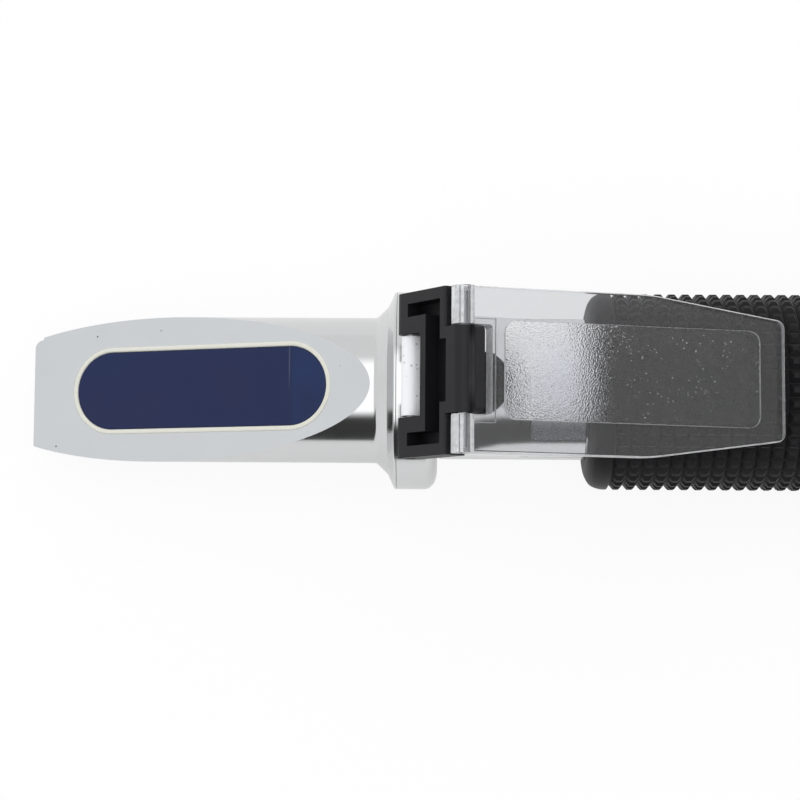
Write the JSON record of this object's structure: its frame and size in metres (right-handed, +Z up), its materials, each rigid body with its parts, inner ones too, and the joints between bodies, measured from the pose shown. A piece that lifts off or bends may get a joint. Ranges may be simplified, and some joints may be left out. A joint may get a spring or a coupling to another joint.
{
  "type": "handheld refractometer",
  "caption": "Handheld refractometer with a slanted prism window, a two-link hinged daylight plate, a rubber grip, a calibration screw and a focusing eyepiece.",
  "frame": {"origin": "middle of the flat under the hinge collar, on which the instrument lies", "axes": "+X along the optical axis towards the eyepiece, +Z up through the hinge, -X towards the nose"},
  "size_m": [0.1586, 0.0286, 0.0456],
  "materials": {
    "chrome": "bright plate, brushed in places",
    "steel": "turned",
    "brass": "turned",
    "black_metal": "black anodised",
    "black_plastic": "moulded, fine satin",
    "black_rubber": "matte with knurled squares",
    "prism_glass": "polished",
    "lens_glass": "polished",
    "clear_plastic": "clear with a frosted pad",
    "seal": "ivory bead",
    "label": "bare foil label"
  },
  "bodies": {
    "instrument_body": {"prism_housing": "chrome", "measuring_prism": "prism_glass", "prism_seal": "seal", "hinge_pin": "steel", "aperture_stop": "black_metal", "main_tube": "chrome", "housing_o_ring": "black_rubber", "label": "label", "rubber_grip": "black_rubber", "bimetal_strip": "brass", "strip_block": "brass", "strip_screw_1": "steel", "strip_screw_2": "steel", "baffle_tube": "black_metal", "reticle_front_ring": "black_metal", "reticle_disc": "lens_glass", "reticle_rear_ring": "black_metal", "focus_guide_screw": "steel"},
    "eyepiece": {"eyepiece_barrel": "black_metal", "field_lens": "lens_glass", "lens_spacer": "black_metal", "eye_lens": "lens_glass", "eye_lens_retainer": "black_metal"},
    "focus_ring": {"focus_ring": "black_plastic", "eyecup": "black_rubber"},
    "lens_carriage": {"lens_carriage": "black_metal", "objective_lens": "lens_glass"},
    "calibration_screw": {"calibration_screw": "brass"},
    "screw_cap": {"screw_cap": "black_rubber"},
    "cover_arm": {"hinge_arm": "black_plastic", "cover_pin": "steel"},
    "daylight_plate": {"daylight_plate": "clear_plastic"}
  },
  "joints": [
    {"name": "arm_swing", "type": "hinge", "parent": "instrument_body", "child": "cover_arm", "pos_m": [-0.00028, 0, 0.03382], "axis": [0, -1, 0], "range_deg": [0, 166.15]},
    {"name": "plate_fold", "type": "hinge", "parent": "cover_arm", "child": "daylight_plate", "pos_m": [0.00662, 0, 0.04352], "axis": [0, -1, 0], "range_deg": [0, 50.5]},
    {"name": "focus_travel", "type": "slide", "parent": "instrument_body", "child": "eyepiece", "axis": [1, 0, 0], "range_m": [-0.0015, 0.0015]},
    {"name": "focus_turn", "type": "hinge", "parent": "eyepiece", "child": "focus_ring", "pos_m": [0.08273, 0, 0.01432], "axis": [1, 0, 0], "range_deg": [-150, 150]},
    {"name": "carriage_travel", "type": "slide", "parent": "instrument_body", "child": "lens_carriage", "axis": [0, 0, 1], "range_m": [-0.00025, 0.00025]},
    {"name": "calibration_turn", "type": "hinge", "parent": "lens_carriage", "child": "calibration_screw", "pos_m": [0.00873, 0, 0.02332], "axis": [0, 0, 1], "range_deg": [-180, 180]},
    {"name": "cap_pull", "type": "slide", "parent": "instrument_body", "child": "screw_cap", "axis": [0, 0, 1], "range_m": [0, 0.004]}
  ],
  "couplings": [
    {"joint": "focus_turn", "follows": "focus_travel", "rad_per_m": 1745},
    {"joint": "calibration_turn", "follows": "carriage_travel", "rad_per_m": 12560}
  ]
}
